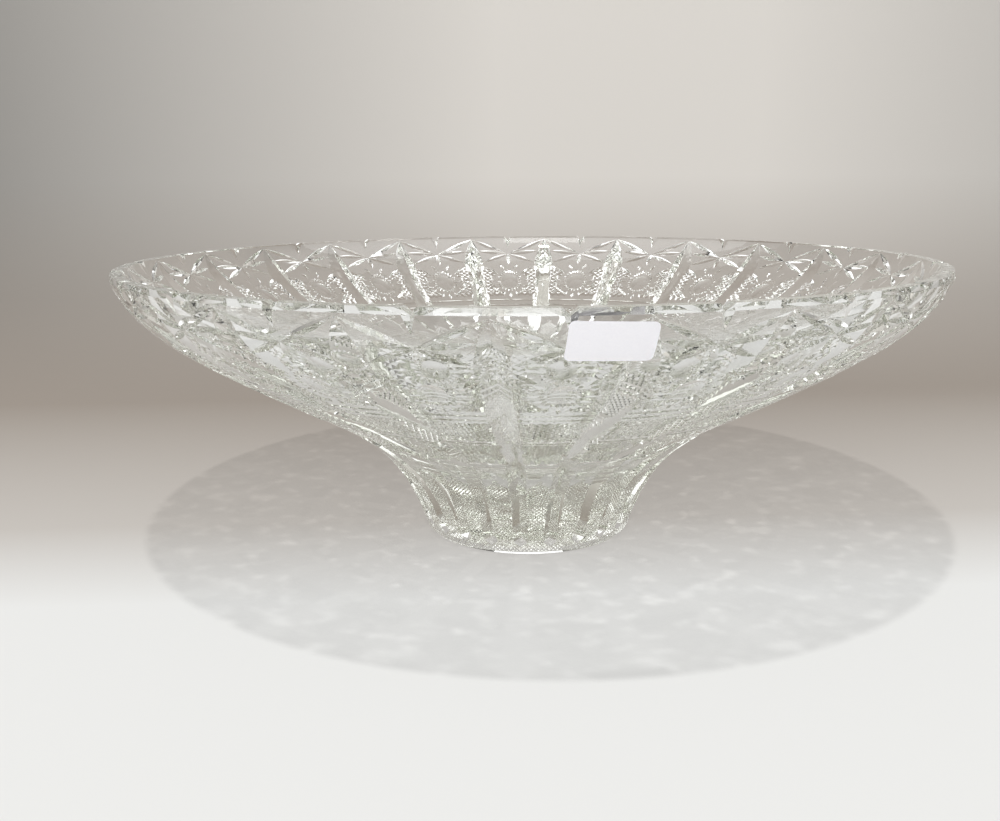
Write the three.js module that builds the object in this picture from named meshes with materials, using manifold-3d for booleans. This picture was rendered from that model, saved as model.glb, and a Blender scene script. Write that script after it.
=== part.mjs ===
// A cut-crystal centrepiece bowl: one blank of clear lead glass, cut with mitres and polished, and a blank
// paper label stuck on outside the rim. Millimetres, +Z up. The origin is the centre of the ring that the
// foot stands on, and -Y is the front.

import * as THREE from "three";
import { mergeVertices } from "three/addons/utils/BufferGeometryUtils.js";
import Module from "manifold-3d";

// The blank's outside, from the foot through the bend in the wall to the rim. An angle is the wall's lean
// from upright in degrees, and a sweep is how far the curve keeps to its lean.
const RIM_RADIUS = 177.5;
const HEIGHT = 124;
const RIM_ANGLE = 14;
const RIM_SWEEP = 23;
const BEND_RADIUS = 95.5;
const BEND_HEIGHT = 59;
const BEND_ANGLE = 60.4;
const BEND_SWEEP_UP = 61;
const BEND_SWEEP_DOWN = 29;
const FOOT_RADIUS = 48;
const FOOT_ANGLE = 17;
const FOOT_SWEEP = 30;

// The blank's inside, rim and underside
const RIM_WIDTH = 5.5;
const RIM_BEVEL = 0.5;
const WALL_THICKNESS = 12;
const FLOOR_THICKNESS = 26;
const FLOOR_SWEEP = 45;
const FOOT_BEVEL = 1.5;
const RING_WIDTH = 7;
const RECESS_DEPTH = 3;

// The cutting repeats around the bowl. A drop is a distance down the outside wall from the rim.
const PANELS = 24;
const SPLIT_DROP = 2.6;
const SPLIT_POINT = 18;
const SPLIT_WIDTH = 12;
const FLUTE_WIDTH = 7;
const FLUTE_RUNOUT = 5;
const FOOT_BAND = 5;
const NOTCH_WIDTH = 4.9;
const SPEAR_LENGTH = 8.5;
const SPEAR_WIDTH = 5.4;
const STAR_DROP = 13.5;
const STAR_RISE = 2.5;
const STAR_FALL = 7;
const STAR_TAIL = 9;
const RAY_WIDTH = 3;
const EYE_DROP = 38;
const EYE_RADIUS = 5;
const EYE_DEPTH = 0.9;
const EYE_RING = 8.5;
const EYE_RAY_RISE = 14;
const EYE_RAY_WIDTH = 2.6;
const BASE_RAY_WIDTH = 4;
const BASE_RAY_INSET = 2;

// Half of each V's angle, in degrees
const SPLIT_ANGLE = 47;
const MITRE_ANGLE = 45;
const BASE_ANGLE = 65;

// The label, seen from outside
const LABEL_WIDTH = 26.5;
const LABEL_HEIGHT = 14.5;
const LABEL_CORNER = 2;
const LABEL_THICKNESS = 0.2;
const LABEL_DROP = 3.6;
const LABEL_OFFSET = 12.4;
const LABEL_TURN = 2;
const LABEL_GAP = 0.3;

// How finely the curves are stepped, and how far a cutter stands clear of what it cuts
const WALL_STEPS = 10;
const POINT_STEPS = 2;
const INSIDE_STEPS = 5;
const INSIDE_SEGMENTS = 48;
const FLOOR_STEPS = 4;
const RAY_STEPS = 2;
const EYE_STEPS = 2;
const EYE_SEGMENTS = 8;
const LABEL_STEPS = 4;
const LABEL_SEGMENTS = 96;
const CORNER_STEPS = 4;
const CLEARANCE = 1.2;

const GLASS_COLOUR = "#dfe4e0";
const PAPER_COLOUR = "#eeedf1";

const wasm = await Module();
wasm.setup();

const upright = new THREE.Vector3(0, 0, 1);
const halfPanel = Math.PI / PANELS;
const slopeOf = (degrees) => Math.tan(THREE.MathUtils.degToRad(degrees));

// Solids and meshes

function solid(geometry) {
  const bare = geometry.clone();
  bare.deleteAttribute("normal");
  bare.deleteAttribute("uv");
  const merged = mergeVertices(bare, 1e-4);
  const triangles = [];
  for (let i = 0; i < merged.index.count; i += 3) {
    const [a, b, c] = [0, 1, 2].map((k) => merged.index.getX(i + k));
    if (a !== b && b !== c && c !== a) triangles.push(a, b, c);
  }
  return new wasm.Manifold(new wasm.Mesh({
    numProp: 3,
    vertProperties: new Float32Array(merged.attributes.position.array),
    triVerts: new Uint32Array(triangles),
  }));
}

function meshOf(body, name, material) {
  const { vertProperties, triVerts } = body.getMesh();
  const geometry = new THREE.BufferGeometry();
  geometry.setAttribute("position", new THREE.BufferAttribute(vertProperties, 3));
  geometry.setIndex(new THREE.BufferAttribute(triVerts, 1));
  geometry.computeVertexNormals();
  const mesh = new THREE.Mesh(geometry, material);
  mesh.name = name;
  return mesh;
}

function turned(profile, segments) {
  return new THREE.LatheGeometry(profile, segments).rotateX(Math.PI / 2);
}

function steps(from, to, count) {
  return Array.from({ length: count + 1 }, (_, i) => THREE.MathUtils.lerp(from, to, i / count));
}

// A loft through triangles, each listed counter-clockwise about the way that the loft runs
function loft(sections) {
  const faces = [];
  for (let i = 1; i < sections.length; i += 1) {
    for (let j = 0; j < 3; j += 1) {
      const [a, b] = [3 * (i - 1) + j, 3 * (i - 1) + ((j + 1) % 3)];
      faces.push(a, b, b + 3, a, b + 3, a + 3);
    }
  }
  const last = 3 * (sections.length - 1);
  faces.push(0, 2, 1, last, last + 1, last + 2);
  const geometry = new THREE.BufferGeometry().setFromPoints(sections.flat());
  geometry.setIndex(faces);
  return geometry;
}

// The wall: its outline, and the place and outward normal at an angle and a drop

const footEdge = new THREE.Vector2(FOOT_RADIUS, FOOT_BEVEL);
const bend = new THREE.Vector2(BEND_RADIUS, BEND_HEIGHT);
const rimEdge = new THREE.Vector2(RIM_RADIUS, HEIGHT - RIM_BEVEL);

function handle(from, lean, sweep) {
  const angle = THREE.MathUtils.degToRad(lean);
  return new THREE.Vector2(from.x + sweep * Math.sin(angle), from.y + sweep * Math.cos(angle));
}

const outline = new THREE.CurvePath();
outline.add(new THREE.CubicBezierCurve(
  footEdge,
  handle(footEdge, FOOT_ANGLE, FOOT_SWEEP),
  handle(bend, BEND_ANGLE, -BEND_SWEEP_DOWN),
  bend,
));
outline.add(new THREE.CubicBezierCurve(
  bend,
  handle(bend, BEND_ANGLE, BEND_SWEEP_UP),
  handle(rimEdge, RIM_ANGLE, -RIM_SWEEP),
  rimEdge,
));
const wallLength = outline.getLength();
const bendDrop = outline.curves[1].getLength();

function wallAt(drop) {
  const along = Math.min(1, 1 - drop / wallLength);
  const tangent = outline.getTangent(along);
  const spot = outline.getPoint(along).addScaledVector(tangent, Math.max(0, -drop));
  return { spot, normal: new THREE.Vector2(tangent.y, -tangent.x) };
}

function swung(point, angle) {
  return new THREE.Vector3(point.x * Math.sin(angle), -point.x * Math.cos(angle), point.y);
}

function placeOnWall(angle, drop) {
  const { spot, normal } = wallAt(drop);
  return { point: swung(spot, angle), normal: swung(normal, angle) };
}

// The long splits part the panels and run on down the foot as its flutes

const pointEnd = SPLIT_DROP + SPLIT_POINT;
const fluteEnd = wallLength - FOOT_BAND;
const runoutStart = fluteEnd - FLUTE_RUNOUT;

function splitHalfWidth(drop) {
  const share = (wallAt(drop).spot.x - FOOT_RADIUS) / (RIM_RADIUS - FOOT_RADIUS);
  const full = THREE.MathUtils.lerp(FLUTE_WIDTH, SPLIT_WIDTH, share) / 2;
  const point = THREE.MathUtils.clamp((drop - SPLIT_DROP) / SPLIT_POINT, 0, 1);
  const runout = THREE.MathUtils.clamp((fluteEnd - drop) / FLUTE_RUNOUT, 0, 1);
  return full * point * runout;
}

// How far round from the middle of a panel its split's edge lies
function splitEdge(drop) {
  return halfPanel - splitHalfWidth(drop) / wallAt(drop).spot.x;
}

// The blank with its splits. Each panel has four columns of points: up its middle, along the split beside it,
// and along both of that split's edges.

const COLUMNS = 4;
const SPLIT_COLUMN = 2;

function flutedBody() {
  const ringInside = FOOT_RADIUS - FOOT_BEVEL - RING_WIDTH;
  const underside = [
    new THREE.Vector2(0, RECESS_DEPTH),
    new THREE.Vector2(ringInside - RECESS_DEPTH, RECESS_DEPTH),
    new THREE.Vector2(ringInside, 0),
    new THREE.Vector2(FOOT_RADIUS - FOOT_BEVEL, 0),
  ];
  const drops = [
    wallLength,
    fluteEnd,
    ...steps(runoutStart, pointEnd, WALL_STEPS),
    ...steps(pointEnd, SPLIT_DROP, POINT_STEPS).slice(1),
    0,
  ];
  const lid = [new THREE.Vector2(RIM_RADIUS - RIM_BEVEL, HEIGHT), new THREE.Vector2(0, HEIGHT)];
  const rows = underside.length + drops.length + lid.length;
  const points = [];
  for (let column = 0; column < COLUMNS * PANELS; column += 1) {
    const stage = column % COLUMNS;
    const evenly = (2 * halfPanel * column) / COLUMNS;
    const splitAngle = halfPanel * (2 * Math.floor(column / COLUMNS) + 1);
    points.push(...underside.map((spot) => swung(spot, evenly)));
    for (const drop of drops) {
      const { spot, normal } = wallAt(drop);
      const half = splitHalfWidth(drop);
      const edge = splitAngle + ((stage - SPLIT_COLUMN) * half) / spot.x;
      const sunk = stage === SPLIT_COLUMN ? half / slopeOf(SPLIT_ANGLE) : 0;
      points.push(swung(spot.addScaledVector(normal, -sunk), stage === 0 || half === 0 ? evenly : edge));
    }
    points.push(...lid.map((spot) => swung(spot, evenly)));
  }
  const faces = [];
  for (let column = 0; column < COLUMNS * PANELS; column += 1) {
    const next = (column + 1) % (COLUMNS * PANELS);
    for (let row = 1; row < rows; row += 1) {
      const [d, c] = [column * rows + row, next * rows + row];
      const [a, b] = [d - 1, c - 1];
      faces.push(...(column % COLUMNS < SPLIT_COLUMN ? [a, b, c, a, c, d] : [a, b, d, b, c, d]));
    }
  }
  const geometry = new THREE.BufferGeometry().setFromPoints(points);
  geometry.setIndex(faces);
  return solid(geometry);
}

// The hollow leaves a wall that thickens from the rim to the bend, soonest near the rim, where it also curves
// most and is stepped most closely
function hollow() {
  const wall = steps(0, 1, INSIDE_STEPS).map((step) => {
    const share = step ** 2;
    const { spot, normal } = wallAt(share * bendDrop);
    const thickness = THREE.MathUtils.lerp(RIM_WIDTH, WALL_THICKNESS, share * (2 - share));
    return spot.addScaledVector(normal, -thickness);
  });
  const start = wall.pop();
  const dish = new THREE.CubicBezierCurve(
    new THREE.Vector2(0, FLOOR_THICKNESS),
    new THREE.Vector2(FLOOR_SWEEP, FLOOR_THICKNESS),
    handle(start, BEND_ANGLE, -BEND_SWEEP_DOWN),
    start,
  );
  const mouth = [
    new THREE.Vector2(RIM_RADIUS - RIM_WIDTH, HEIGHT),
    new THREE.Vector2(RIM_RADIUS - RIM_WIDTH, HEIGHT + CLEARANCE),
    new THREE.Vector2(0, HEIGHT + CLEARANCE),
  ];
  const profile = [...dish.getPoints(FLOOR_STEPS), ...wall.slice(1).reverse(), ...mouth];
  return solid(turned(profile, INSIDE_SEGMENTS));
}

// A mitre: the V-shaped groove that a wheel leaves along a line of places, half as wide as halfWidth says
function mitre(places, halfWidth, angle) {
  const slope = slopeOf(angle);
  const last = places.length - 1;
  return solid(loft(places.map(({ point, normal }, i) => {
    const ahead = places[Math.min(i + 1, last)].point.clone().sub(places[Math.max(i - 1, 0)].point);
    const side = ahead.cross(normal).normalize();
    const half = halfWidth(i / last);
    const lip = point.clone().addScaledVector(normal, CLEARANCE);
    const reach = half + CLEARANCE * slope;
    return [
      point.clone().addScaledVector(normal, -half / slope),
      lip.clone().addScaledVector(side, -reach),
      lip.clone().addScaledVector(side, reach),
    ];
  })));
}

const leaf = (width) => (t) => (width / 2) * Math.sin(Math.PI * t);

function between(from, to, share) {
  return {
    angle: THREE.MathUtils.lerp(from.angle, to.angle, share),
    drop: THREE.MathUtils.lerp(from.drop, to.drop, share),
  };
}

function lineOnWall(from, to) {
  return steps(0, 1, RAY_STEPS).map((share) => {
    const { angle, drop } = between(from, to, share);
    return placeOnWall(angle, drop);
  });
}

// The notch goes across the rim, and a spear carries it on down the wall
function rimNotch(angle) {
  const across = [RIM_RADIUS - RIM_WIDTH - CLEARANCE, RIM_RADIUS + CLEARANCE];
  const places = across.map((radius) => ({
    point: swung(new THREE.Vector2(radius, HEIGHT), angle),
    normal: upright,
  }));
  return mitre(places, () => NOTCH_WIDTH / 2, MITRE_ANGLE);
}

function spear(angle) {
  const from = { angle, drop: -CLEARANCE };
  const to = { angle, drop: SPEAR_LENGTH };
  return mitre(lineOnWall(from, to), (t) => (SPEAR_WIDTH / 2) * (1 - t), MITRE_ANGLE);
}

// The star's side rays end on the splits, and its tail points down at the eye
function star(angle) {
  const middle = { angle, drop: STAR_DROP };
  const ends = [{ angle, drop: STAR_DROP + STAR_TAIL }];
  for (const drop of [SPLIT_DROP, STAR_DROP - STAR_RISE, STAR_DROP + STAR_FALL]) {
    const swing = splitEdge(drop);
    ends.push({ angle: angle - swing, drop }, { angle: angle + swing, drop });
  }
  return ends.map((end) => mitre(lineOnWall(middle, end), leaf(RAY_WIDTH), MITRE_ANGLE));
}

// The eye is a round hollow, ground with the edge of a ball
function eye(angle) {
  const ball = (EYE_RADIUS ** 2 + EYE_DEPTH ** 2) / (2 * EYE_DEPTH);
  const top = Math.acos((ball - EYE_DEPTH - CLEARANCE) / ball);
  const hollowed = steps(0, top, EYE_STEPS).map((turn) => new THREE.Vector2(
    ball * Math.sin(turn),
    ball - EYE_DEPTH - ball * Math.cos(turn),
  ));
  const { point, normal } = placeOnWall(angle, EYE_DROP);
  const geometry = turned([...hollowed, new THREE.Vector2(0, CLEARANCE)], EYE_SEGMENTS);
  geometry.applyQuaternion(new THREE.Quaternion().setFromUnitVectors(upright, normal));
  return solid(geometry.translate(point.x, point.y, point.z));
}

// Four rays run from a ring around the eye out to the splits
function eyeRays(angle) {
  const middle = { angle, drop: EYE_DROP };
  const rays = [];
  for (const drop of [EYE_DROP - EYE_RAY_RISE, EYE_DROP + EYE_RAY_RISE]) {
    const swing = splitEdge(drop);
    const ring = EYE_RING / Math.hypot(swing * wallAt(drop).spot.x, EYE_RAY_RISE);
    for (const end of [{ angle: angle - swing, drop }, { angle: angle + swing, drop }]) {
      rays.push(mitre(lineOnWall(between(middle, end, ring), end), leaf(EYE_RAY_WIDTH), MITRE_ANGLE));
    }
  }
  return rays;
}

// The star under the foot: one ray to a panel, from the middle to just inside the ring
function baseRay(angle) {
  const reach = FOOT_RADIUS - FOOT_BEVEL - RING_WIDTH - RECESS_DEPTH - BASE_RAY_INSET;
  const places = steps(BASE_RAY_INSET, reach, RAY_STEPS).map((radius) => ({
    point: swung(new THREE.Vector2(radius, RECESS_DEPTH), angle),
    normal: upright.clone().negate(),
  }));
  return mitre(places, leaf(BASE_RAY_WIDTH), BASE_ANGLE);
}

function glassBowl() {
  const cutters = [];
  for (let panel = 0; panel < PANELS; panel += 1) {
    const angle = 2 * halfPanel * panel;
    cutters.push(rimNotch(angle), spear(angle), ...star(angle));
    cutters.push(eye(angle), ...eyeRays(angle), baseRay(angle));
  }
  return cutters.reduce((body, cutter) => body.subtract(cutter), flutedBody().subtract(hollow()));
}

// The label: a thin skin just off the wall, trimmed to a rectangle with round corners
function paperLabel() {
  const angle = LABEL_OFFSET / wallAt(LABEL_DROP).spot.x;
  const lower = LABEL_DROP + LABEL_HEIGHT;
  const skinDrops = steps(0, lower + CLEARANCE, LABEL_STEPS);
  const skinAt = (offset) => skinDrops.map((drop) => {
    const { spot, normal } = wallAt(drop);
    return spot.addScaledVector(normal, offset);
  });
  const inner = skinAt(LABEL_GAP);
  const outer = skinAt(LABEL_GAP + LABEL_THICKNESS).reverse();
  const skin = solid(turned([...inner, ...outer, inner[0].clone()], LABEL_SEGMENTS));

  const [x, y, r] = [LABEL_WIDTH / 2, LABEL_HEIGHT / 2, LABEL_CORNER];
  const shape = new THREE.Shape();
  shape.absarc(x - r, y - r, r, 0, Math.PI / 2);
  shape.absarc(r - x, y - r, r, Math.PI / 2, Math.PI);
  shape.absarc(r - x, r - y, r, Math.PI, 1.5 * Math.PI);
  shape.absarc(x - r, r - y, r, 1.5 * Math.PI, 2 * Math.PI);
  const depth = 2 * LABEL_HEIGHT;
  const prism = new THREE.ExtrudeGeometry(shape, { depth, bevelEnabled: false, curveSegments: CORNER_STEPS });
  prism.translate(0, 0, -depth / 2).rotateZ(THREE.MathUtils.degToRad(-LABEL_TURN));

  const { point, normal } = placeOnWall(angle, LABEL_DROP + LABEL_HEIGHT / 2);
  const across = new THREE.Vector3(Math.cos(angle), Math.sin(angle), 0);
  const facing = new THREE.Matrix4().makeBasis(across, normal.clone().cross(across), normal);
  prism.applyMatrix4(facing.setPosition(point));
  return skin.intersect(solid(prism));
}

const group = new THREE.Group();
group.add(meshOf(
  glassBowl(),
  "glass_bowl",
  new THREE.MeshStandardMaterial({ color: GLASS_COLOUR, roughness: 0.03, metalness: 0, flatShading: true }),
));
group.add(meshOf(
  paperLabel(),
  "paper_label",
  new THREE.MeshStandardMaterial({ color: PAPER_COLOUR, roughness: 0.7, metalness: 0 }),
));

export default group;
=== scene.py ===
"""A cut-crystal centrepiece bowl with a paper label, dressed over its CAD model.

One panel is turned from the blank's section, cut with V-edged wheels as a glass cutter would, and then
repeated around the bowl. Metres, +Z up, -Y to the front.
"""

import math

import bmesh
import bpy
from mathutils import Matrix, Vector


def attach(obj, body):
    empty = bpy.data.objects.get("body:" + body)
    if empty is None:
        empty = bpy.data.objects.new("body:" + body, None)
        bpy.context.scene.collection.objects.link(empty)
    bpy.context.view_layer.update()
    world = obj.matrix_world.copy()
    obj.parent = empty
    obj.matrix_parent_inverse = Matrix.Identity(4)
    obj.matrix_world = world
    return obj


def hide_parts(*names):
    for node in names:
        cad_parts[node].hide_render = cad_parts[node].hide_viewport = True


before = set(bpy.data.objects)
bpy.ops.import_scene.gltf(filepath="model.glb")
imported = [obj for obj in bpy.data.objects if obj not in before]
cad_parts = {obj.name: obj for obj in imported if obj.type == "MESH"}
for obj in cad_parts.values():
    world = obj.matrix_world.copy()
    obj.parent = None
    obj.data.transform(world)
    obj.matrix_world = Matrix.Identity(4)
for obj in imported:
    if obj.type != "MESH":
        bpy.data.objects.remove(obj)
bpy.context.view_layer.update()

MM = 0.001
UP = Vector((0, 0, 1))

# The blank: the wall's outside from the foot through its bend to the rim. A lean is the angle from upright,
# and a sweep is how far the curve keeps to it.
RIM_RADIUS = 177.4 * MM
HEIGHT = 124 * MM
RIM_LEAN = math.radians(14)
RIM_SWEEP = 23 * MM
BEND_RADIUS = 95.5 * MM
BEND_HEIGHT = 59 * MM
BEND_LEAN = math.radians(60.4)
BEND_SWEEP_UP = 61 * MM
BEND_SWEEP_DOWN = 29 * MM
FOOT_RADIUS = 48 * MM
FOOT_LEAN = math.radians(17)
FOOT_SWEEP = 30 * MM
RIM_WIDTH = 5.5 * MM
RIM_BEVEL = 0.5 * MM
CHAMFER_DROP = 1.8 * MM
CHAMFER_WIDTH = 1 * MM
WALL_THICKNESS = 12 * MM
FLOOR_THICKNESS = 26 * MM
FLOOR_SWEEP = 45 * MM
FOOT_BEVEL = 1.5 * MM
RING_WIDTH = 7 * MM
RECESS_DEPTH = 3 * MM

# How finely the blank is stepped. One panel's blank is turned a little past the middle of its splits.
MEASURE_STEPS = 400
WALL_STEPS = 28
INSIDE_STEPS = 24
DISH_STEPS = 16
TURN_STEPS = 11
BLANK_ANGLE = math.radians(10.5)

# The wheels: half the angle of each V edge, the spacing of stations along a cut, how far the waste stands
# clear of the glass, the steps along a split, and the fewest along a leaf or spear and along a tick
SPLIT_ANGLE = math.radians(47)
MITRE_ANGLE = math.radians(45)
FINE_ANGLE = math.radians(50)
BASE_ANGLE = math.radians(65)
STATION = 6 * MM
CLEAR = 1.2 * MM
SPLIT_STEPS = 30
LEAF_STEPS = 4
TICK_STEPS = 2

# The deep cutting. A drop is a distance down the outside wall from the rim.
PANELS = 24
HALF_PANEL = math.pi / PANELS
SPLIT_DROP = 2.6 * MM
SPLIT_POINT = 18 * MM
SPLIT_WIDTH = 12 * MM
FLUTE_WIDTH = 7 * MM
FLUTE_RUNOUT = 2.5 * MM
FOOT_BAND = 2.5 * MM
NOTCH_WIDTH = 4.9 * MM
SPEAR_LENGTH = 8.5 * MM
SPEAR_WIDTH = 5.4 * MM
STAR_DROP = 13.5 * MM
STAR_RISE = 2.5 * MM
STAR_FALL = 7 * MM
STAR_TAIL = 9 * MM
RAY_WIDTH = 3 * MM

# The eye, which is longer down the wall than across, and what surrounds it
EYE_DROP = 38 * MM
EYE_RADIUS = 5 * MM
EYE_DEPTH = 0.9 * MM
EYE_STRETCH = 1.4
BALL_SEGMENTS = 32
BALL_RINGS = 64
TICKS = 24
TICK_INNER = 5.3 * MM
TICK_OUTER = 7.8 * MM
TICK_WIDTH = 1.7 * MM
EYE_RING = 8.5 * MM
EYE_RAY_RISE = 14 * MM
EYE_RAY_WIDTH = 2.6 * MM
RAYS = 16
SHORT_RAY_REACH = 14 * MM
SHORT_RAY_RISE = 17 * MM
SHORT_RAY_WIDTH = 2 * MM

# The fields of small diamonds. A peak is how far the points stand out of the wall, and an overrun is how far
# a field runs out over the splits, which are cut later.
DIAMOND_REACH = 24 * MM
POINT_PEAK = -0.08 * MM
EYE_CLEAR = 10 * MM
SHOULDER_TOP = 25 * MM
SHOULDER_MIDDLE = 40 * MM
SHOULDER_BOTTOM = 55 * MM
SHOULDER_SPACING = 2.4 * MM
SHOULDER_OVERRUN = 1.5 * SHOULDER_SPACING
GIRDLE_TOP = 64.5 * MM
GIRDLE_MIDDLE = 77.5 * MM
GIRDLE_BOTTOM = 90.5 * MM
GIRDLE_SPACING = 2.2 * MM
GIRDLE_OVERRUN = 1.2 * GIRDLE_SPACING
GIRDLE_PEAK = 0.3 * MM
BAND_TOP = 94 * MM
BAND_MIDDLE = 108 * MM
BAND_BOTTOM = 122 * MM
BAND_SPACING = 2.8 * MM
BAND_OVERRUN = 1.2 * BAND_SPACING
FOOT_FIELD_TOP = 144 * MM
FOOT_FIELD_MIDDLE = 160 * MM
FOOT_FIELD_ARCH = 7 * MM
FOOT_FIELD_SPACING = 1.35 * MM
FOOT_FIELD_OVERRUN = 1.5 * FOOT_FIELD_SPACING
FOOT_FIELD_PEAK = 0.25 * MM

# The fine lines around the wall
LINE_DROPS = (57.5 * MM, 62.5 * MM, 92.5 * MM, 124 * MM)
LINE_WIDTH = 1.7 * MM
LINE_OVERRUN = 0.5 * MM

# The star under the foot
BASE_STEPS = 10
BASE_HUB = 1 * MM
BASE_MARGIN = 1.5 * MM
BASE_HALF_WIDTH = 2 * MM
BASE_FILL = 0.97
BASE_TAPER = 0.25

# Joining up: what counts as one point on the axis and along the seams, as a sliver, as flat and as a sharp
# edge
AXIS_WELD = 1e-7
SEAM_WELD = 0.002 * MM
SLIVER = 0.01 * MM
FLAT_ANGLE = math.radians(0.4)
FACET_ANGLE = math.radians(9)

# The label: a sheet of paper with round corners, laid on the wall beside the front notch
LABEL_WIDTH = 26.5 * MM
LABEL_HEIGHT = 14.5 * MM
LABEL_CORNER = 2 * MM
LABEL_DROP = 3.6 * MM
LABEL_OFFSET = 12.4 * MM
LABEL_TURN = math.radians(2)
LABEL_LIFT = 0.15 * MM
LABEL_COLUMNS = 52
LABEL_ROWS = 28
PAPER_THICKNESS = 0.1 * MM
PAPER_EDGE_ANGLE = math.radians(30)


# The wall's outline

def steps(start, end, count):
    """Evenly spaced values, both ends among them."""
    return [start + (end - start) * i / count for i in range(count + 1)]


def handle(start, lean, sweep):
    """The curve's handle at a point: where its tangent gets to."""
    return Vector((start.x + sweep * math.sin(lean), start.y + sweep * math.cos(lean)))


def bezier(a, b, c, d, count):
    """Points along a cubic curve, both ends among them."""
    points = []
    for i in range(count + 1):
        t = i / count
        s = 1 - t
        points.append(a * s**3 + b * (3 * s * s * t) + c * (3 * s * t * t) + d * t**3)
    return points


FOOT_EDGE = Vector((FOOT_RADIUS, FOOT_BEVEL))
BEND = Vector((BEND_RADIUS, BEND_HEIGHT))
RIM_EDGE = Vector((RIM_RADIUS, HEIGHT - RIM_BEVEL))


def outside_curve(count):
    """The section of the wall's outside, as radius and height: foot to bend, and bend to rim."""
    lower = bezier(FOOT_EDGE, handle(FOOT_EDGE, FOOT_LEAN, FOOT_SWEEP),
                   handle(BEND, BEND_LEAN, -BEND_SWEEP_DOWN), BEND, count)
    upper = bezier(BEND, handle(BEND, BEND_LEAN, BEND_SWEEP_UP),
                   handle(RIM_EDGE, RIM_LEAN, -RIM_SWEEP), RIM_EDGE, count)
    return lower, upper


def line_length(points):
    return sum((b - a).length for a, b in zip(points, points[1:]))


def lengths_so_far(points):
    """How far along the line each point is."""
    lengths = [0.0]
    for a, b in zip(points, points[1:]):
        lengths.append(lengths[-1] + (b - a).length)
    return lengths


FINE_LOWER, FINE_UPPER = outside_curve(MEASURE_STEPS)
FINE_WALL = list(reversed(FINE_LOWER + FINE_UPPER[1:]))
FINE_DROPS = lengths_so_far(FINE_WALL)
WALL_LENGTH = line_length(FINE_WALL)
BEND_DROP = line_length(FINE_UPPER)
FLUTE_END = WALL_LENGTH - FOOT_BAND


def wall(drop):
    """The spot in the section at a drop, and the outward normal there."""
    index = 0
    low, high = 0, len(FINE_DROPS) - 2
    while low <= high:
        index = (low + high) // 2
        if FINE_DROPS[index] > drop:
            high = index - 1
        elif FINE_DROPS[index + 1] < drop:
            low = index + 1
        else:
            break
    a, b = FINE_WALL[index], FINE_WALL[index + 1]
    share = (drop - FINE_DROPS[index]) / (FINE_DROPS[index + 1] - FINE_DROPS[index])
    down = (b - a).normalized()
    return a.lerp(b, share), Vector((-down.y, down.x))


def swing(spot, angle):
    """A spot of the section, swung around the axis from the front."""
    return Vector((spot.x * math.sin(angle), -spot.x * math.cos(angle), spot.y))


def on_wall(angle, drop):
    """The point and outward normal at an angle around the bowl and a drop."""
    spot, normal = wall(drop)
    return swing(spot, angle), swing(normal, angle)


def on_panel(across, drop):
    """As on_wall, with the distance across the panel from its middle."""
    return on_wall(across / wall(drop)[0].x, drop)


def split_half_width(drop):
    """Splits come to a point under the rim, narrow towards the foot and run out at its base."""
    share = (wall(drop)[0].x - FOOT_RADIUS) / (RIM_RADIUS - FOOT_RADIUS)
    full = (FLUTE_WIDTH + (SPLIT_WIDTH - FLUTE_WIDTH) * share) / 2
    point = min(1, max(0, (drop - SPLIT_DROP) / SPLIT_POINT))
    runout = min(1, max(0, (FLUTE_END - drop) / FLUTE_RUNOUT))
    return full * point * runout


def panel_edge(drop):
    """Half the width of the glass left between two splits."""
    return wall(drop)[0].x * HALF_PANEL - split_half_width(drop)


# Modelling by hand

def name_piece(name):
    """Name the primitive that was just added."""
    piece = bpy.context.object
    piece.name = name
    piece.data.name = name
    return piece


def deselect():
    bpy.ops.object.select_all(action="DESELECT")


def edit(piece):
    """Go into edit mode on one piece, and return its mesh there."""
    deselect()
    bpy.context.view_layer.objects.active = piece
    piece.select_set(True)
    bpy.ops.object.mode_set(mode="EDIT")
    return bmesh.from_edit_mesh(piece.data)


def done():
    bpy.ops.object.mode_set(mode="OBJECT")


def drawn_face(name, points):
    """A circle with as many corners as the outline has, its corners moved onto the outline."""
    deselect()
    bpy.ops.mesh.primitive_circle_add(vertices=len(points), fill_type="NGON")
    piece = name_piece(name)
    for vertex, point in zip(piece.data.vertices, points):
        vertex.co = point
    return piece


def face_outwards(piece):
    """Turn every face outwards, in edit mode."""
    bpy.ops.mesh.select_all(action="SELECT")
    bpy.ops.mesh.normals_make_consistent(inside=False)
    if bmesh.from_edit_mesh(piece.data).calc_volume(signed=True) < 0:
        bpy.ops.mesh.flip_normals()


def wheel_cut(stations, half_angle):
    """The waste that a V-edged wheel takes out: a triangle extruded along stations of a point, the normal
    there and half the cut's width."""
    slope = math.tan(half_angle)
    sections = []
    for i, (point, normal, half) in enumerate(stations):
        ahead = stations[min(i + 1, len(stations) - 1)][0] - stations[max(i - 1, 0)][0]
        side = ahead.cross(normal).normalized()
        lip = point + normal * CLEAR
        reach = side * (half + CLEAR * slope)
        sections.append([point - normal * (half / slope), lip - reach, lip + reach])
    waste = drawn_face("waste", sections[0])
    mesh = edit(waste)
    mesh.verts.ensure_lookup_table()
    last = list(mesh.verts)
    for section in sections[1:]:
        bpy.ops.mesh.select_all(action="DESELECT")
        mesh = bmesh.from_edit_mesh(waste.data)
        for face in mesh.faces:
            if set(face.verts) == set(last):
                face.select_set(True)
        bpy.ops.mesh.extrude_region_move()
        mesh = bmesh.from_edit_mesh(waste.data)
        fresh = []
        for vertex in last:
            others = [e.other_vert(vertex) for e in vertex.link_edges]
            fresh.append(next(other for other in others if other.select))
        for vertex, point in zip(fresh, section):
            vertex.co = point
        last = fresh
    face_outwards(waste)
    done()
    return waste


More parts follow.
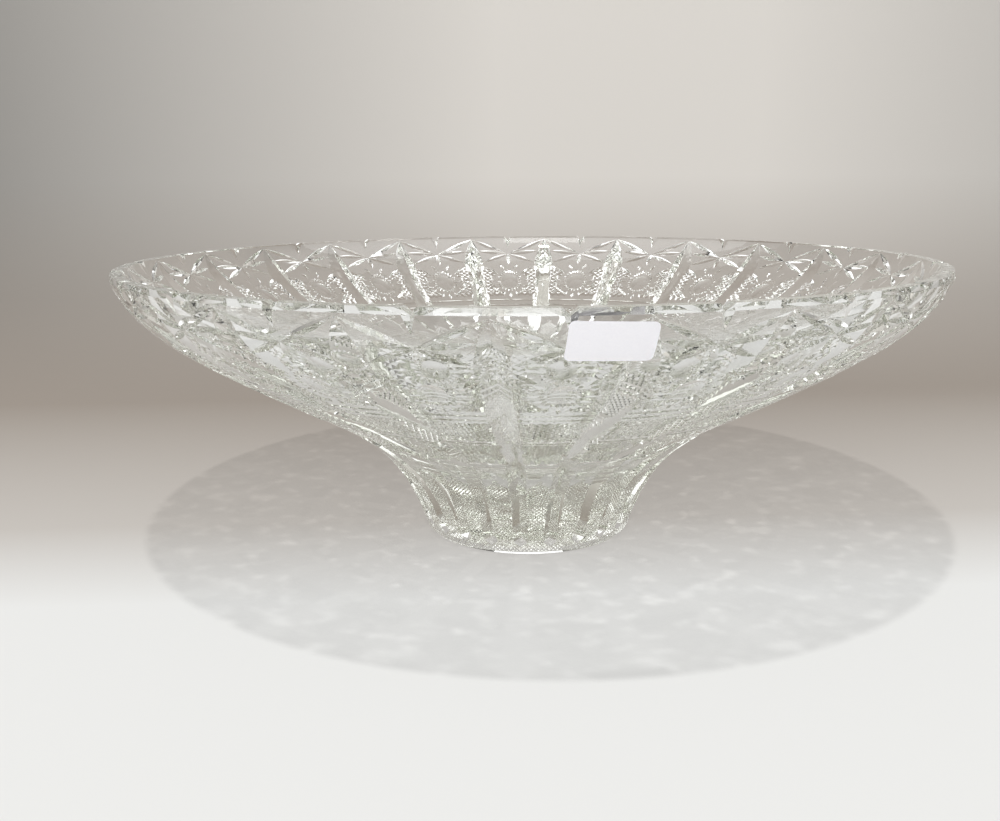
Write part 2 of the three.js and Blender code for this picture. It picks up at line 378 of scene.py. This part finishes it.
def cut(glass, waste):
    """Take the waste out of the glass."""
    deselect()
    bpy.context.view_layer.objects.active = glass
    glass.select_set(True)
    bpy.ops.object.modifier_add(type="BOOLEAN")
    modifier = glass.modifiers[-1]
    modifier.operation = "DIFFERENCE"
    modifier.solver = "MANIFOLD"
    modifier.object = waste
    bpy.ops.object.modifier_apply(modifier=modifier.name)
    bpy.data.objects.remove(waste)


def straight_cut(start, end, half_width, least=1):
    """Stations along a straight line on the panel, from and to a distance across and a drop."""
    length = math.hypot(end[0] - start[0], end[1] - start[1])
    count = max(least, math.ceil(length / STATION))
    stations = []
    for t in steps(0, 1, count):
        across = start[0] + (end[0] - start[0]) * t
        drop = start[1] + (end[1] - start[1]) * t
        stations.append((*on_panel(across, drop), half_width(t)))
    return stations


def leaf(width):
    """Half the width along a cut that is pointed at both ends."""
    return lambda t: width / 2 * math.sin(math.pi * t)


def even(width):
    return lambda t: width / 2


# The blank of one panel, as turned on the lathe

def blank_section():
    """The outline of the section: under the foot, up the outside, over the rim and down the inside."""
    ring_inside = FOOT_RADIUS - FOOT_BEVEL - RING_WIDTH
    lower, upper = outside_curve(WALL_STEPS)
    chamfer = wall(CHAMFER_DROP)[0]
    outside = [spot for spot in lower + upper[1:] if spot.y < chamfer.y] + [chamfer]
    inside = []
    for share in steps(0, 1, INSIDE_STEPS):
        spot, normal = wall(share * BEND_DROP)
        inside.append(spot - normal * (RIM_WIDTH + (WALL_THICKNESS - RIM_WIDTH) * share * (2 - share)))
    start = inside[-1]
    dish = bezier(start, handle(start, BEND_LEAN, -BEND_SWEEP_DOWN),
                  Vector((FLOOR_SWEEP, FLOOR_THICKNESS)), Vector((0, FLOOR_THICKNESS)), DISH_STEPS)
    return [
        Vector((0, RECESS_DEPTH)),
        Vector((ring_inside - RECESS_DEPTH, RECESS_DEPTH)),
        Vector((ring_inside, 0)),
        Vector((FOOT_RADIUS - FOOT_BEVEL, 0)),
        *outside,
        Vector((RIM_RADIUS - CHAMFER_WIDTH, HEIGHT)),
        Vector((RIM_RADIUS - RIM_WIDTH, HEIGHT)),
        *inside[1:],
        *dish[1:],
    ]


def panel_blank():
    """The section, spun around the axis far enough for one panel."""
    glass = drawn_face("cut_bowl", [swing(spot, -BLANK_ANGLE) for spot in blank_section()])
    edit(glass)
    bpy.ops.mesh.select_all(action="SELECT")
    bpy.ops.mesh.spin(steps=TURN_STEPS, angle=-2 * BLANK_ANGLE, center=(0, 0, 0), axis=(0, 0, 1))
    bpy.ops.mesh.select_all(action="SELECT")
    bpy.ops.mesh.remove_doubles(threshold=AXIS_WELD)
    face_outwards(glass)
    done()
    return glass


# The cutting of one panel, from the middle of one split to the middle of the next

def rim_cuts():
    """A notch across the rim, and the spear that carries it on down the wall."""
    across = []
    for radius in (RIM_RADIUS - RIM_WIDTH - CLEAR, RIM_RADIUS + CLEAR):
        across.append((Vector((0, -radius, HEIGHT)), UP, NOTCH_WIDTH / 2))
    yield wheel_cut(across, MITRE_ANGLE)
    spear = []
    for t in steps(0, 1, LEAF_STEPS):
        point, normal = on_wall(0, SPEAR_LENGTH * t)
        spear.append((point, normal, SPEAR_WIDTH / 2 * (1 - t)))
    point, normal, half = spear[0]
    rise = (point - spear[1][0]).normalized() * CLEAR
    spear.insert(0, (point + rise, normal, half * (1 + CLEAR / SPEAR_LENGTH)))
    yield wheel_cut(spear, MITRE_ANGLE)


def split_cuts():
    """The long V on each side of the panel, which runs on down the foot as a flute."""
    full = steps(SPLIT_DROP + SPLIT_POINT, FLUTE_END - FLUTE_RUNOUT, SPLIT_STEPS)
    for side in (-1, 1):
        stations = []
        for drop in (SPLIT_DROP, *full, FLUTE_END):
            stations.append((*on_wall(side * HALF_PANEL, drop), split_half_width(drop)))
        yield wheel_cut(stations, SPLIT_ANGLE)


def leaf_cut(start, end, width):
    return wheel_cut(straight_cut(start, end, leaf(width), LEAF_STEPS), MITRE_ANGLE)


def star_cuts():
    """The star under the rim: a tail down the middle and leaves that end on the splits."""
    middle = (0, STAR_DROP)
    ends = [(0, STAR_DROP + STAR_TAIL)]
    for drop in (SPLIT_DROP, STAR_DROP - STAR_RISE, STAR_DROP + STAR_FALL):
        ends.append((-panel_edge(drop), drop))
        ends.append((panel_edge(drop), drop))
    for end in ends:
        yield leaf_cut(middle, end, RAY_WIDTH)


def around_eye(way, radius):
    """The distance across and the drop at an angle around the eye."""
    return (radius * math.sin(way), EYE_DROP - EYE_STRETCH * radius * math.cos(way))


def eye_cuts():
    """The long round hollow, ground with a ball, and the ring of fine ticks around it."""
    point, normal = on_panel(0, EYE_DROP)
    ball = (EYE_RADIUS**2 + EYE_DEPTH**2) / (2 * EYE_DEPTH)
    deselect()
    bpy.ops.mesh.primitive_uv_sphere_add(segments=BALL_SEGMENTS, ring_count=BALL_RINGS, radius=ball)
    waste = name_piece("waste")
    turn = UP.rotation_difference(normal).to_matrix().to_4x4()
    stretch = Matrix.Diagonal((1, EYE_STRETCH, 1, 1))
    waste.data.transform(Matrix.Translation(point + normal * (ball - EYE_DEPTH)) @ turn @ stretch)
    yield waste
    for i in range(TICKS):
        way = 2 * math.pi * (i + 0.5) / TICKS
        start = around_eye(way, TICK_INNER)
        end = around_eye(way, TICK_OUTER)
        yield wheel_cut(straight_cut(start, end, leaf(TICK_WIDTH), TICK_STEPS), MITRE_ANGLE)


def eye_ray_cuts():
    """The leaves around the eye: long ones on the diagonals, out to the splits, and short ones between them.
    None points straight up, where the star's tail ends."""
    for drop in (EYE_DROP - EYE_RAY_RISE, EYE_DROP + EYE_RAY_RISE):
        for side in (-1, 1):
            end = Vector((side * panel_edge(drop), drop))
            ring_share = EYE_RING / math.hypot(end.x, EYE_RAY_RISE / EYE_STRETCH)
            yield leaf_cut(Vector((0, EYE_DROP)).lerp(end, ring_share), end, EYE_RAY_WIDTH)
    for i in range(1, RAYS):
        on_diagonal = i % (RAYS // 4) == RAYS // 8
        if on_diagonal:
            continue
        way = 2 * math.pi * i / RAYS
        end = (SHORT_RAY_REACH * math.sin(way), EYE_DROP - SHORT_RAY_RISE * math.cos(way))
        yield leaf_cut(around_eye(way, EYE_RING), end, SHORT_RAY_WIDTH)


def select_corners(waste):
    """Select the diamonds that meet another at a corner only, and say whether there are any."""
    bpy.ops.mesh.select_all(action="DESELECT")
    found = False
    for vertex in bmesh.from_edit_mesh(waste.data).verts:
        pair = list(vertex.link_faces)
        if len(pair) == 2 and not set(pair[0].edges) & set(pair[1].edges):
            pair[0].select_set(True)
            pair[1].select_set(True)
            found = True
    return found


def diamond_cut(inside, middle, spacing, peak):
    """A field of small diamonds, where crossed fine mitres leave nothing of the wall but points. The waste is
    a slab whose underside is poked up into the points, and whose edge slopes up out of the glass."""
    count = math.ceil(math.sqrt(2) * DIAMOND_REACH / spacing)
    depth = spacing / 2 / math.tan(FINE_ANGLE)
    deselect()
    bpy.ops.mesh.primitive_grid_add(x_subdivisions=2 * count, y_subdivisions=2 * count, size=2 * count)
    waste = name_piece("waste")
    for vertex in waste.data.vertices:
        i, j, _ = vertex.co * spacing / math.sqrt(2)
        vertex.co = (i - j, middle + i + j, peak - depth)
    mesh = edit(waste)
    bpy.ops.mesh.select_all(action="DESELECT")
    for face in mesh.faces:
        spot = face.calc_center_median()
        face.select_set(not inside(abs(spot.x), spot.y))
    bpy.ops.mesh.delete(type="FACE")
    while select_corners(waste):
        bpy.ops.mesh.delete(type="FACE")
    mesh = bmesh.from_edit_mesh(waste.data)
    for vertex in mesh.verts:
        if vertex.is_boundary:
            vertex.co.z = CLEAR / 2
    bpy.ops.mesh.select_all(action="SELECT")
    bpy.ops.mesh.extrude_region_move()
    mesh = bmesh.from_edit_mesh(waste.data)
    for vertex in mesh.verts:
        if vertex.select:
            vertex.co.z = 2 * CLEAR
    bpy.ops.mesh.select_all(action="DESELECT")
    for face in mesh.faces:
        face.select_set(all(vertex.co.z < 0 for vertex in face.verts))
    bpy.ops.mesh.poke(offset=-depth)
    mesh = bmesh.from_edit_mesh(waste.data)
    for vertex in mesh.verts:
        across, drop, rise = vertex.co
        point, normal = on_panel(across, drop)
        vertex.co = point + normal * rise
    face_outwards(waste)
    done()
    return waste


def in_shoulder(across, drop):
    if not SHOULDER_TOP < drop < SHOULDER_BOTTOM:
        return False
    if math.hypot(across, (drop - EYE_DROP) / EYE_STRETCH) < EYE_CLEAR:
        return False
    return across < panel_edge(drop) + SHOULDER_OVERRUN


def in_girdle(across, drop):
    return GIRDLE_TOP < drop < GIRDLE_BOTTOM and across < panel_edge(drop) + GIRDLE_OVERRUN


def in_band(across, drop):
    return BAND_TOP < drop < BAND_BOTTOM and across < panel_edge(drop) + BAND_OVERRUN


def in_foot_field(across, drop):
    """Its top is an arch between two flutes, and its bottom goes over the foot's edge."""
    if not FOOT_FIELD_TOP - FOOT_FIELD_ARCH < drop < WALL_LENGTH + FOOT_FIELD_SPACING:
        return False
    edge = panel_edge(drop)
    if drop <= FOOT_FIELD_TOP - FOOT_FIELD_ARCH * (1 - across / edge):
        return False
    return across < edge + FOOT_FIELD_OVERRUN


def diamond_cuts():
    yield diamond_cut(in_shoulder, SHOULDER_MIDDLE, SHOULDER_SPACING, POINT_PEAK)
    yield diamond_cut(in_girdle, GIRDLE_MIDDLE, GIRDLE_SPACING, GIRDLE_PEAK)
    yield diamond_cut(in_band, BAND_MIDDLE, BAND_SPACING, POINT_PEAK)
    yield diamond_cut(in_foot_field, FOOT_FIELD_MIDDLE, FOOT_FIELD_SPACING, FOOT_FIELD_PEAK)


def line_cuts():
    """Fine lines around the wall, from split to split."""
    for drop in LINE_DROPS:
        end = panel_edge(drop) + LINE_OVERRUN
        yield wheel_cut(straight_cut((-end, drop), (end, drop), even(LINE_WIDTH)), FINE_ANGLE)


def base_cuts():
    """A ray of the star under the foot. Rays meet edge to edge near the middle and end inside the ring."""
    reach = FOOT_RADIUS - FOOT_BEVEL - RING_WIDTH - RECESS_DEPTH - BASE_MARGIN
    stations = []
    for t in steps(0, 1, BASE_STEPS):
        radius = BASE_HUB + (reach - BASE_HUB) * t
        room = radius * math.tan(HALF_PANEL) * BASE_FILL
        half = min(room, BASE_HALF_WIDTH, (reach - radius) * BASE_TAPER)
        stations.append((Vector((0, -radius, RECESS_DEPTH)), -UP, half))
    yield wheel_cut(stations, BASE_ANGLE)


def cut_panel():
    glass = panel_blank()
    for cuts in (diamond_cuts, line_cuts, split_cuts, rim_cuts, star_cuts, eye_cuts, eye_ray_cuts, base_cuts):
        for waste in cuts():
            cut(glass, waste)
    return glass


def round_the_bowl(glass):
    """Trim the panel along the middle of its splits, repeat it around the axis and join it as one skin."""
    edit(glass)
    for side in (-1, 1):
        bpy.ops.mesh.select_all(action="SELECT")
        bpy.ops.mesh.bisect(
            plane_co=(0, 0, 0),
            plane_no=side * swing(Vector((1, 0)), side * HALF_PANEL + math.pi / 2),
            clear_outer=True,
            threshold=SEAM_WELD,
        )
    bpy.ops.mesh.select_all(action="SELECT")
    bpy.ops.mesh.dissolve_degenerate(threshold=SLIVER)
    bpy.ops.mesh.select_all(action="SELECT")
    bpy.ops.mesh.dissolve_limited(angle_limit=FLAT_ANGLE)
    bpy.ops.mesh.quads_convert_to_tris(quad_method="BEAUTY", ngon_method="BEAUTY")
    bpy.ops.mesh.select_all(action="SELECT")
    bpy.ops.mesh.spin(steps=PANELS - 1, angle=2 * HALF_PANEL * (PANELS - 1), dupli=True,
                      center=(0, 0, 0), axis=(0, 0, 1))
    bpy.ops.mesh.select_all(action="SELECT")
    bpy.ops.mesh.remove_doubles(threshold=SEAM_WELD)
    bpy.ops.mesh.delete_loose()
    face_outwards(glass)
    done()
    bpy.ops.object.shade_smooth_by_angle(angle=FACET_ANGLE)


# The label

def label_sheet():
    """A flat grid, rounded at its corners, bent onto the wall's outside and given the paper's thickness."""
    deselect()
    bpy.ops.mesh.primitive_grid_add(x_subdivisions=LABEL_COLUMNS, y_subdivisions=LABEL_ROWS, size=2)
    sheet = name_piece("paper_sheet")
    corner = Vector((LABEL_WIDTH / 2 - LABEL_CORNER, LABEL_HEIGHT / 2 - LABEL_CORNER))
    middle_drop = LABEL_DROP + LABEL_HEIGHT / 2
    middle_angle = LABEL_OFFSET / wall(LABEL_DROP)[0].x
    for vertex in sheet.data.vertices:
        spot = Vector((vertex.co.x * LABEL_WIDTH / 2, vertex.co.y * LABEL_HEIGHT / 2))
        beyond = Vector((max(0, abs(spot.x) - corner.x), max(0, abs(spot.y) - corner.y)))
        if beyond.length > LABEL_CORNER:
            beyond *= LABEL_CORNER / beyond.length
            spot.x = math.copysign(corner.x + beyond.x, spot.x)
            spot.y = math.copysign(corner.y + beyond.y, spot.y)
        spot.rotate(Matrix.Rotation(-LABEL_TURN, 2))
        drop = middle_drop - spot.y
        point, normal = on_wall(middle_angle + spot.x / wall(drop)[0].x, drop)
        vertex.co = point + normal * LABEL_LIFT
    bpy.ops.object.modifier_add(type="SOLIDIFY")
    modifier = sheet.modifiers[-1]
    modifier.thickness = PAPER_THICKNESS
    modifier.offset = 1
    bpy.ops.object.modifier_apply(modifier=modifier.name)
    edit(sheet)
    face_outwards(sheet)
    done()
    bpy.ops.object.shade_smooth_by_angle(angle=PAPER_EDGE_ANGLE)
    return sheet


# Materials

def linear(colour):
    """The linear colour, with an alpha of 1, of an sRGB hex value."""
    channels = []
    for i in (1, 3, 5):
        value = int(colour[i:i + 2], 16) / 255
        channels.append(value / 12.92 if value <= 0.04045 else ((value + 0.055) / 1.055) ** 2.4)
    return (*channels, 1)


def add(tree, kind, inputs=None, **settings):
    """Add a node with its settings, and fill or link its inputs."""
    made = tree.nodes.new(kind)
    for name, value in settings.items():
        setattr(made, name, value)
    for name, value in (inputs or {}).items():
        if isinstance(value, bpy.types.NodeSocket):
            tree.links.new(value, made.inputs[name])
        else:
            made.inputs[name].default_value = value
    return made


def ramp(tree, value, start, end, low=0.0, high=1.0):
    """A value that goes from low to high while another goes from start to end."""
    return add(tree, "ShaderNodeMapRange", {
        "Value": value, "From Min": start, "From Max": end, "To Min": low, "To Max": high,
    }).outputs[0]


def maths(tree, operation, first, second=0.0):
    return add(tree, "ShaderNodeMath", {0: first, 1: second}, operation=operation).outputs[0]


def vector_maths(tree, operation, inputs, output=0):
    return add(tree, "ShaderNodeVectorMath", inputs, operation=operation).outputs[output]


def mix_colours(tree, share, first, second):
    """A Mix node has its colours at inputs 6 and 7 and at output 2."""
    return add(tree, "ShaderNodeMix", {0: share, 6: first, 7: second}, data_type="RGBA").outputs[2]


def mix_shaders(tree, share, first, second):
    return add(tree, "ShaderNodeMixShader", {0: share, 1: first, 2: second}).outputs[0]


def empty_material(name):
    material = bpy.data.materials.new(name)
    material.use_nodes = True
    material.node_tree.nodes.clear()
    return material, material.node_tree


# The size of the waves that the wheel leaves in the polish
WAVE_SIZE = 9 * MM

# How much light each surface of the glass passes on to what lies beyond: least where it faces out or up, as
# the plain wall does, more where a cut tilts it sideways, and more still in painted flecks of light from
# noise
PLAIN_TILT = 0.1
PLAIN_PASS = 0.48
CUT_TILT = 0.6
CUT_PASS = 0.78
FLECK_SIZE = 9 * MM
FLECK_FROM = 0.58
FLECK_FULL = 0.64
FLECK_PASS = 0.5


def lead_crystal():
    """Lead crystal, cut and acid polished: clear and bright, with a trace of grey-green where it is thick,
    and facets that are very slightly wavy from the wheel. Its shadow is pale, with streaks where the cuts
    tilt its surfaces and painted flecks of light from noise in place of light traced through it."""
    material, tree = empty_material("lead_crystal")
    place = add(tree, "ShaderNodeTexCoord").outputs["Object"]
    waves = add(tree, "ShaderNodeTexNoise", {"Vector": place, "Scale": 1 / WAVE_SIZE, "Detail": 1})
    polish = add(tree, "ShaderNodeBump", {
        "Height": waves.outputs["Fac"],
        "Strength": 0.15,
        "Distance": 0.05 * MM,
    })
    glass = add(tree, "ShaderNodeBsdfPrincipled", {
        "Base Color": linear("#ffffff"),
        "Roughness": 0.0,
        "IOR": 1.545,
        "Transmission Weight": 1.0,
        "Normal": polish.outputs["Normal"],
    })
    around = vector_maths(tree, "CROSS_PRODUCT", {0: place, 1: UP})
    around = vector_maths(tree, "NORMALIZE", {0: around})
    facing = add(tree, "ShaderNodeNewGeometry").outputs["Normal"]
    tilt = maths(tree, "ABSOLUTE", vector_maths(tree, "DOT_PRODUCT", {0: facing, 1: around}, "Value"))
    streaks = ramp(tree, tilt, PLAIN_TILT, CUT_TILT, PLAIN_PASS, CUT_PASS)
    # Painted light: bright flecks from noise in the shadow, standing in for light that the cuts would gather
    painted_fleck_noise = add(tree, "ShaderNodeTexNoise", {"Vector": place, "Scale": 1 / FLECK_SIZE, "Detail": 2})
    flecks = ramp(tree, painted_fleck_noise.outputs["Fac"], FLECK_FROM, FLECK_FULL, 0.0, FLECK_PASS)
    passed = add(tree, "ShaderNodeMath", {0: streaks, 1: flecks}, operation="ADD", use_clamp=True)
    shade = add(tree, "ShaderNodeBsdfTransparent", {"Color": passed.outputs[0]})
    path = add(tree, "ShaderNodeLightPath").outputs
    onward = maths(tree, "MAXIMUM", path["Is Shadow Ray"], path["Is Diffuse Ray"])
    surface = mix_shaders(tree, onward, glass.outputs[0], shade.outputs[0])
    tint = add(tree, "ShaderNodeVolumeAbsorption", {"Color": linear("#e3e6dc"), "Density": 8.0})
    add(tree, "ShaderNodeOutputMaterial", {"Surface": surface, "Volume": tint.outputs[0]})
    return material


FIBRE_SIZE = 0.6 * MM


def label_paper():
    """Smooth white label paper, matt, with a faint mottle from its fibres."""
    material, tree = empty_material("label_paper")
    place = add(tree, "ShaderNodeTexCoord").outputs["Object"]
    fibres = add(tree, "ShaderNodeTexNoise", {"Vector": place, "Scale": 1 / FIBRE_SIZE, "Detail": 4})
    mottle = mix_colours(tree, fibres.outputs["Fac"], linear("#e9e8ee"), linear("#f4f3f7"))
    grain = add(tree, "ShaderNodeBump", {
        "Height": fibres.outputs["Fac"],
        "Strength": 0.2,
        "Distance": 0.02 * MM,
    })
    paper = add(tree, "ShaderNodeBsdfPrincipled", {
        "Base Color": mottle,
        "Roughness": 0.6,
        "IOR": 1.5,
        "Normal": grain.outputs["Normal"],
    })
    add(tree, "ShaderNodeOutputMaterial", {"Surface": paper.outputs[0]})
    return material


# Where painted falloff of light takes the background paper from pale to dull, in metres apart from the stop
# and the share, and how much of its paleness is a painted glow
PALE_FRONT = -0.09
DULL_BACK = 0.27
DULLING_STOP = 0.25
DULL_LEFT = -0.65
PALE_LEFT = 0.0
PALE_RIGHT = 0.2
DULL_RIGHT = 1.0
SIDE_SHADE_SHARE = 0.1
WALL_PALE_HEIGHT = 0.16
PAINTED_GLOW_SHARE = 0.7
PAINTED_GLOW_STRENGTH = 0.95


def studio_paper():
    """Matt background paper, palest at the front, with painted shade making it duller under the wall and
    towards both sides, where the light falls off. Part of its paleness is a painted glow, so that the shadow
    on it stays light and the glass shows it too. The camera sees through it from behind."""
    material, tree = empty_material("studio_paper")
    place = add(tree, "ShaderNodeTexCoord").outputs["Object"]
    parts = add(tree, "ShaderNodeSeparateXYZ", {0: place}).outputs
    # Painted shade: the floor's colour darkens towards the wall behind, where the light falls off
    floor = add(tree, "ShaderNodeValToRGB", {"Fac": ramp(tree, parts["Y"], PALE_FRONT, DULL_BACK)})
    stops = floor.color_ramp.elements
    stops[0].color = linear("#e6e6e4")
    stops[1].color = linear("#a0978e")
    stops.new(DULLING_STOP).color = linear("#c5c0ba")
    # Painted shade: the paper's colour darkens towards both sides, where the light falls off
    left = ramp(tree, parts["X"], DULL_LEFT, PALE_LEFT, SIDE_SHADE_SHARE, 1.0)
    right = ramp(tree, parts["X"], PALE_RIGHT, DULL_RIGHT, 1.0, SIDE_SHADE_SHARE)
    sides = maths(tree, "MULTIPLY", left, right)
    upright = vector_maths(tree, "SCALE", {0: linear("#dedad4")[:3], "Scale": sides})
    shaded = mix_colours(tree, ramp(tree, parts["Z"], 0.0, WALL_PALE_HEIGHT), floor.outputs[0], upright)
    paper = add(tree, "ShaderNodeBsdfDiffuse", {"Color": shaded, "Roughness": 0.5})
    # Painted glow: the paper gives off its own colour to the camera and the glass, which lightens the shadow
    # on it
    glow = add(tree, "ShaderNodeEmission", {"Color": shaded, "Strength": PAINTED_GLOW_STRENGTH})
    path = add(tree, "ShaderNodeLightPath").outputs
    seen = maths(tree, "MAXIMUM", path["Is Camera Ray"], path["Is Glossy Ray"])
    seen = maths(tree, "MAXIMUM", seen, path["Is Transmission Ray"])
    glow_share = maths(tree, "MULTIPLY", seen, PAINTED_GLOW_SHARE)
    front = mix_shaders(tree, glow_share, paper.outputs[0], glow.outputs[0])
    back = add(tree, "ShaderNodeNewGeometry").outputs["Backfacing"]
    from_behind = maths(tree, "MULTIPLY", path["Is Camera Ray"], back)
    clear = add(tree, "ShaderNodeBsdfTransparent")
    surface = mix_shaders(tree, from_behind, front, clear.outputs[0])
    add(tree, "ShaderNodeOutputMaterial", {"Surface": surface})
    return material


def dress(piece, material):
    piece.data.materials.clear()
    piece.data.materials.append(material)


# The bowl and its label

bowl = cut_panel()
round_the_bowl(bowl)
dress(bowl, lead_crystal())
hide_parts("glass_bowl")
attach(bowl, "root")

label = label_sheet()
dress(label, label_paper())
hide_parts("paper_label")
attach(label, "root")


# The studio: a sweep of paper, a lamp overhead and a soft one in front, a room around them, and the camera

HEADING = math.radians(-2.378)
WALL_BEHIND = 0.33
SWEEP = 0.07
SWEEP_STEPS = 12
PAPER_REACH = 2.5
WALL_HEIGHT = 1.6
HORIZON_RISE = 0.05
CEILING_RISE = 0.4
GLASS_STRENGTH = 1.6
MATT_STRENGTH = 0.4
LENS = 35.39
CAMERA_PLACE = (-0.0314, -0.4477, 0.1591)
CAMERA_TILT = math.radians(76.72)
CAMERA_ROLL = math.radians(-0.42)


def background_sweep():
    """The outline of the paper from the side, pulled out sideways."""
    outline = [(-PAPER_REACH, 0.0), (WALL_BEHIND - SWEEP, 0.0)]
    for turn in steps(0, math.pi / 2, SWEEP_STEPS)[1:]:
        outline.append((WALL_BEHIND - SWEEP + SWEEP * math.sin(turn), SWEEP - SWEEP * math.cos(turn)))
    outline.append((WALL_BEHIND, WALL_HEIGHT))
    deselect()
    bpy.ops.mesh.primitive_grid_add(x_subdivisions=len(outline) - 1, y_subdivisions=1, size=2)
    sweep = name_piece("background_paper")
    for i, vertex in enumerate(sweep.data.vertices):
        back, up = outline[i % len(outline)]
        vertex.co = (-vertex.co.y * PAPER_REACH, back, up)
    sweep.data.transform(Matrix.Rotation(HEADING, 4, "Z"))
    bpy.ops.object.shade_smooth()
    return sweep


def add_lamp(name, shape, size, energy, place, target):
    data = bpy.data.lights.new(name, "AREA")
    data.shape = shape
    data.size = size
    data.energy = energy
    lamp = bpy.data.objects.new(name, data)
    bpy.context.collection.objects.link(lamp)
    lamp.location = place
    lamp.rotation_euler = (Vector(target) - lamp.location).to_track_quat("-Z", "Y").to_euler()


def soft_room():
    """A white ceiling over a dark horizon, for the glass to show. Matt surfaces get less of it, and the
    camera sees a plain pale room."""
    world = bpy.data.worlds.new("soft_room")
    world.use_nodes = True
    tree = world.node_tree
    tree.nodes.clear()
    way = add(tree, "ShaderNodeTexCoord").outputs["Generated"]
    rise = add(tree, "ShaderNodeSeparateXYZ", {0: way}).outputs["Z"]
    above = ramp(tree, rise, HORIZON_RISE, CEILING_RISE)
    sky = mix_colours(tree, above, linear("#2e2c2a"), linear("#ffffff"))
    path = add(tree, "ShaderNodeLightPath").outputs
    strength = ramp(tree, path["Is Diffuse Ray"], 0.0, 1.0, GLASS_STRENGTH, MATT_STRENGTH)
    light = add(tree, "ShaderNodeBackground", {"Color": sky, "Strength": strength})
    beyond = add(tree, "ShaderNodeBackground", {"Color": linear("#d6d3ce")})
    room = mix_shaders(tree, path["Is Camera Ray"], light.outputs[0], beyond.outputs[0])
    add(tree, "ShaderNodeOutputWorld", {"Surface": room})
    return world


def front_camera():
    data = bpy.data.cameras.new("camera")
    data.sensor_width = 36
    data.lens = LENS
    camera = bpy.data.objects.new("camera", data)
    bpy.context.collection.objects.link(camera)
    camera.matrix_world = (
        Matrix.Translation(CAMERA_PLACE)
        @ Matrix.Rotation(HEADING, 4, "Z")
        @ Matrix.Rotation(CAMERA_TILT, 4, "X")
        @ Matrix.Rotation(CAMERA_ROLL, 4, "Z")
    )
    return camera


paper = background_sweep()
dress(paper, studio_paper())

add_lamp("overhead_lamp", shape="DISK", size=0.05, energy=15,
         place=(-0.113, -0.373, 1.40), target=(0, 0, 0.06))
add_lamp("front_fill", shape="SQUARE", size=0.7, energy=6,
         place=(-0.25, -1.3, 0.55), target=(0, 0, 0.1))

scene = bpy.context.scene
scene.world = soft_room()
scene.camera = front_camera()
scene.view_settings.view_transform = "Standard"
scene.cycles.max_bounces = 24
scene.cycles.transmission_bounces = 24
scene.cycles.glossy_bounces = 12
scene.cycles.transparent_max_bounces = 64
scene.cycles.caustics_reflective = False
scene.cycles.caustics_refractive = False
